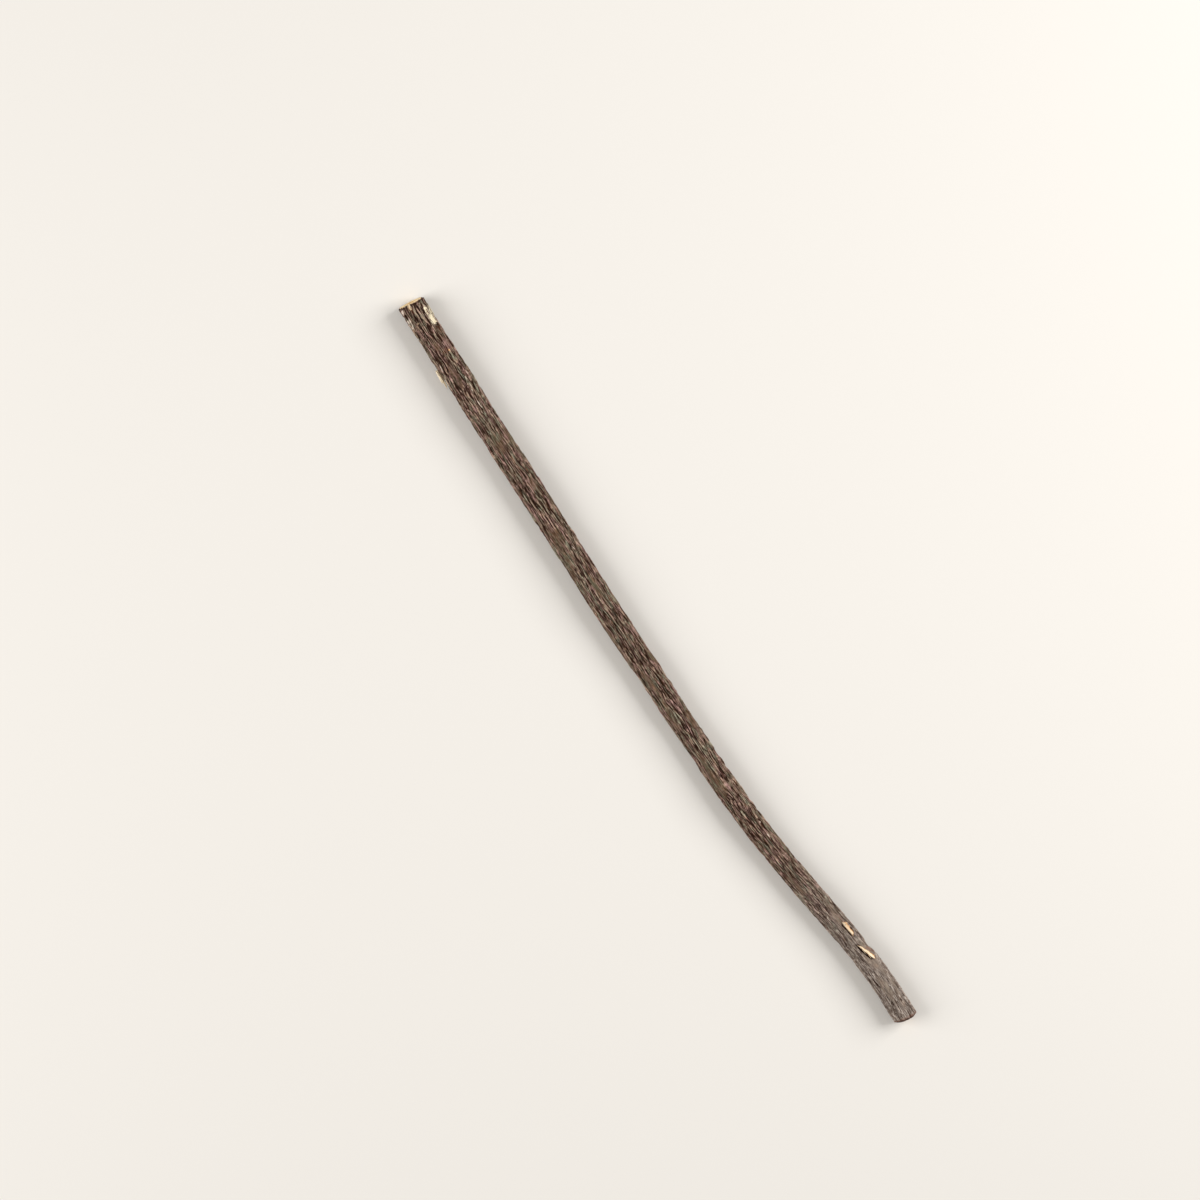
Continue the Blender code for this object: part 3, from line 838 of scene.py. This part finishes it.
# Each ramp's stops: where each stands, and its tone or share
SKIN_TONES = [(0.12, "#2A1608"), (0.32, "#3E2512"), (0.50, "#523421"), (0.68, "#6D4A35"), (0.88, "#9A765D")]
PINKISH_SHARES = [(0.52, 0.0), (0.64, 0.40)]
GREENISH_SHARES = [(0.36, 0.40), (0.47, 0.0)]
# Darker in hollows, paler on ridges: partly the bark's own tone, partly painted shade and highlight
tone_at = sums(tree, -1.50, (noted["relief"], 1.40), (fibres, 0.60), (specks, 0.50), (mottle, 0.20))
tone_at = sums(tree, tone_at, (streaks, 1.30))
skin_tone = add(tree, "ShaderNodeValToRGB", {"stops": SKIN_TONES}, Fac=tone_at).outputs["Color"]
pinkish = add(tree, "ShaderNodeValToRGB", {"stops": PINKISH_SHARES}, Fac=patches).outputs["Color"]
greenish = add(tree, "ShaderNodeValToRGB", {"stops": GREENISH_SHARES}, Fac=patches).outputs["Color"]
less_calm = sums(tree, 1.0, (noted["calm"], -0.8))
pinkish = add(tree, "ShaderNodeMath", TIMES, _0=pinkish, _1=less_calm).outputs[0]
colour = covered(tree, skin_tone, "#70463E", pinkish)
colour = covered(tree, colour, "#545642", sums(tree, 0.0, (greenish, 1.0), (noted["calm"], 0.22)))
grey_at = sums(tree, 0.06, (blotches, 0.38), (streaks, 0.32), (specks, 0.20))
GREY_TONES = [(0.36, "#574B42"), (0.50, "#847467"), (0.62, "#AEA092")]
grey = add(tree, "ShaderNodeValToRGB", {"stops": GREY_TONES}, Fac=grey_at).outputs["Color"]
old_tone = covered(tree, colour, grey, 0.66)
colour = covered(tree, colour, old_tone, noted["old"])

# A fine net of furrows about 0.5 mm apart and 3 mm long, that the mesh is too coarse for. Their dark colour
# is partly the bark's own and partly painted shade
FURROW_BEND = (3.0, 0.7, 0.7)
FURROWS_PER_MM = (0.34, 1.9, 1.9)
FURROW_SHARES = [(0.07, 1.0), (0.25, 0.0)]
bend = add(tree, "ShaderNodeTexNoise", Vector=grain, Scale=0.9, Detail=2.0).outputs["Color"]
bent = add(tree, "ShaderNodeVectorMath", TIMES_PLUS, _0=bend, _1=FURROW_BEND, _2=grain).outputs[0]
cells = add(tree, "ShaderNodeVectorMath", TIMES, _0=bent, _1=FURROWS_PER_MM).outputs[0]
gap = add(tree, "ShaderNodeTexVoronoi", {"feature": "DISTANCE_TO_EDGE"}, Vector=cells, Scale=1.0)
gap = gap.outputs["Distance"]
furrow = add(tree, "ShaderNodeValToRGB", {"stops": FURROW_SHARES}, Fac=gap).outputs["Color"]
furrow_share = sums(tree, 0.0, (specks, 1.8), (noted["calm"], -0.60), (noted["old"], -0.30))
furrow = add(tree, "ShaderNodeMath", CLAMPED_TIMES, _0=furrow, _1=furrow_share).outputs[0]
colour = covered(tree, colour, "#331B0C", furrow)

# Pale threads and lips, partly their own tone and partly painted highlight, then the slits' dark bottoms,
# partly their own tone and partly painted shade
RAISED_TONES = [(0.38, "#A6A28C"), (0.50, "#BCA28C"), (0.60, "#BE9A90")]
raised_tone = add(tree, "ShaderNodeValToRGB", {"stops": RAISED_TONES}, Fac=patches).outputs["Color"]
thread_share = sums(tree, -1.20, (specks, 4.0))
thread_share = add(tree, "ShaderNodeMath", TIMES, _0=noted["thread"], _1=thread_share).outputs[0]
thread_share = add(tree, "ShaderNodeClamp", Value=thread_share, Max=0.95).outputs[0]
colour = covered(tree, colour, covered(tree, raised_tone, "#C8BBB0", noted["old"]), thread_share)
lip_share = sums(tree, 0.15, (specks, 1.5))
lip_share = add(tree, "ShaderNodeMath", TIMES, _0=noted["lip"], _1=lip_share).outputs[0]
lip_tone = covered(tree, raised_tone, "#C1B5AA", noted["old"])
lip_share = add(tree, "ShaderNodeClamp", Value=lip_share).outputs[0]
colour = covered(tree, colour, lip_tone, lip_share)
# The palest lips are painted paler still: painted highlight
painted_highlight = add(tree, "ShaderNodeMath", {"operation": "SUBTRACT", "use_clamp": True}, _0=noted["lip"], _1=1.0)
colour = covered(tree, colour, "#E6D6C6", sums(tree, 0.0, (painted_highlight.outputs[0], 1.5)))
# The slits' dark bottoms: partly the bark's own tone, partly painted shade
slit_share = add(tree, "ShaderNodeMath", CLAMPED_TIMES, _0=noted["slit"], _1=1.6).outputs[0]
colour = covered(tree, colour, "#2C1507", slit_share)

# Torn wood, fresh and bleached, the bleached partly a painted reflection, then rust, then painted shade
# in the cracks, pits and holes and on the bark's edge at the cuts
TORN_TONES = [(0.22, "#7A4226"), (0.42, "#BE7C42"), (0.64, "#E6B98A"), (0.90, "#FDEACB")]
BLEACHED_AND_REFLECTION_TONES = [(0.34, "#85725E"), (0.56, "#C2AE92"), (0.76, "#E6D6B8"), (0.98, "#F8EDD2")]
torn_at = sums(tree, -1.20, (noted["bare"], 0.95), (fibres, 0.90), (streaks, 1.30), (specks, 0.30))
torn_wood = add(tree, "ShaderNodeValToRGB", {"stops": TORN_TONES}, Fac=torn_at).outputs["Color"]
bleached_wood_and_reflection = add(tree, "ShaderNodeValToRGB", {"stops": BLEACHED_AND_REFLECTION_TONES}, Fac=torn_at).outputs["Color"]
torn_wood = covered(tree, torn_wood, bleached_wood_and_reflection, noted["bleached"])
bare_at = sums(tree, -4.0, (noted["bare"], 5.0), (specks, 1.5), (fibres, 1.5), (streaks, 1.0))
colour = covered(tree, colour, torn_wood, add(tree, "ShaderNodeClamp", Value=bare_at).outputs[0])
rust_at = sums(tree, -1.10, (specks, 1.8), (streaks, 1.2))
rust = add(tree, "ShaderNodeMath", CLAMPED_TIMES, _0=noted["rusty"], _1=rust_at).outputs[0]
colour = covered(tree, colour, "#6E3A22", rust)
# Painted shade: the cracks, pits, holes and the bark's edge at the cuts are darkened
colour = covered(tree, colour, "#26120A", noted["crevice"])
rise = sums(tree, 0.0, (fibres, 0.6), (specks, 0.5), (furrow, -0.7))
bump = add(tree, "ShaderNodeBump", Strength=0.9, Distance=0.08 * MM, Height=rise).outputs["Normal"]
skin = add(tree, "ShaderNodeBsdfPrincipled", Base_Color=colour, Roughness=0.78, Normal=bump)
skin.inputs["Specular IOR Level"].default_value = 0.12
add(tree, "ShaderNodeOutputMaterial", Surface=skin.outputs[0])
for piece_mesh in (mesh, mesh_strips, mesh_splinters, mesh_reflection_sliver):
    piece_mesh.materials.append(bark)

# Sawn wood.
# End grain of a pale, dense fruit wood, cut with a fine saw and dried: cream sapwood, thin growth rings,
# rays, a brown pith, and a rim of rusty inner bark under the dark outer bark.
RING_GAP = 0.5
wood, tree = new_material("sawn_end_grain")
from_pith = add(tree, "ShaderNodeAttribute", {"attribute_name": "cut_radius"}).outputs["Fac"]
from_bark = add(tree, "ShaderNodeAttribute", {"attribute_name": "cut_depth"}).outputs["Fac"]
grain = add(tree, "ShaderNodeAttribute", {"attribute_name": "grain"}).outputs["Vector"]
flat = add(tree, "ShaderNodeVectorMath", TIMES, _0=grain, _1=(0.0, 1.0, 1.0)).outputs[0]
wander = add(tree, "ShaderNodeTexNoise", Vector=flat, Scale=0.7, Detail=2.0).outputs["Fac"]
ring_at = sums(tree, from_pith, (wander, 0.8))
ring_at = add(tree, "ShaderNodeMath", TIMES, _0=ring_at, _1=FULL_TURN / RING_GAP).outputs[0]
ring_wave = add(tree, "ShaderNodeMath", {"operation": "SINE"}, _0=ring_at).outputs[0]
outward = add(tree, "ShaderNodeVectorMath", {"operation": "NORMALIZE"}, _0=flat).outputs[0]
rays = add(tree, "ShaderNodeTexNoise", Vector=outward, Scale=16.0, Detail=2.0).outputs["Fac"]
pores = add(tree, "ShaderNodeTexNoise", Vector=flat, Scale=9.0, Detail=2.0).outputs["Fac"]
WOOD_TONES = [(0.06, "#7B5130"), (0.28, "#BE8A55"), (0.52, "#E0B77E"), (0.80, "#F6DDAE")]
INNER_BARK_SHARES = [(0.30, 1.0), (0.42, 0.0)]  # by how many millimetres in from the bark
OUTER_BARK_SHARES = [(0.22, 1.0), (0.30, 0.0)]
wood_at = sums(tree, -0.04, (from_pith, 0.24), (ring_wave, 0.05), (rays, 0.40), (pores, 0.35))
wood_tone = add(tree, "ShaderNodeValToRGB", {"stops": WOOD_TONES}, Fac=wood_at).outputs["Color"]
rim_at = sums(tree, 0.0, (from_bark, 1.0), (pores, 0.12))
under_bark = add(tree, "ShaderNodeValToRGB", {"stops": INNER_BARK_SHARES}, Fac=rim_at).outputs["Color"]
in_bark = add(tree, "ShaderNodeValToRGB", {"stops": OUTER_BARK_SHARES}, Fac=rim_at).outputs["Color"]
colour = covered(tree, wood_tone, "#8A4C2C", under_bark)
colour = covered(tree, colour, "#2C1B13", in_bark)
rise = sums(tree, 0.0, (pores, 0.6), (rays, 0.4))
bump = add(tree, "ShaderNodeBump", Strength=0.6, Distance=0.05 * MM, Height=rise).outputs["Normal"]
sawn = add(tree, "ShaderNodeBsdfPrincipled", Base_Color=colour, Roughness=0.7, Normal=bump)
sawn.inputs["Specular IOR Level"].default_value = 0.3
add(tree, "ShaderNodeOutputMaterial", Surface=sawn.outputs[0])
mesh.materials.append(wood)
index = np.zeros(len(faces), dtype=np.int32)
index[cut_faces_start:] = 1
mesh.polygons.foreach_set("material_index", index)

# The studio: a plain pale floor, soft light from all round, and a broad lamp on each side of the stick
bpy.ops.mesh.primitive_plane_add(size=3.0, location=(0.0, 0.0, -0.02 * MM))
floor = bpy.context.object
floor.name = "floor"
pale, tree = new_material("pale_floor")
paint = add(tree, "ShaderNodeBsdfPrincipled", Base_Color=linear("#E4E0DA"), Roughness=0.9)
add(tree, "ShaderNodeOutputMaterial", Surface=paint.outputs[0])
floor.data.materials.append(pale)

world = bpy.data.worlds.new("studio")
world.use_nodes = True
world.node_tree.nodes["Background"].inputs["Color"].default_value = linear("#F4F1EC")
world.node_tree.nodes["Background"].inputs["Strength"].default_value = 0.42
scene.world = world
for name, place, power, size in (
    ("key", (0.15, 0.65, 0.48), 6.0, 0.5),
    ("fill", (-0.35, -0.62, 0.48), 5.0, 0.6),
):
    lamp = bpy.data.lights.new(name, "AREA")
    lamp.energy = power
    lamp.size = size
    holder = bpy.data.objects.new(name, lamp)
    holder.location = place
    holder.rotation_euler = Vector(place).to_track_quat("Z", "Y").to_euler()
    scene.collection.objects.link(holder)

# The camera looks straight down, rolled so that the stick lies as in the photo. Lengths here are metres.
CAMERA_HEIGHT = 0.95  # above the stick's middle
STICK_MIDDLE = 0.003
VIEW_WIDTH = 0.2752
VIEW_CENTRE = (-0.0190, -0.0014)
ROLL_DEG = 55.3
camera_data = bpy.data.cameras.new("camera")
camera_data.lens = 36.0 * CAMERA_HEIGHT / VIEW_WIDTH
camera_data.clip_start = 0.01
camera = bpy.data.objects.new("camera", camera_data)
camera.location = (*VIEW_CENTRE, CAMERA_HEIGHT + STICK_MIDDLE)
camera.rotation_euler = (0.0, 0.0, math.radians(ROLL_DEG))
scene.collection.objects.link(camera)
scene.camera = camera
scene.view_settings.view_transform = "Standard"
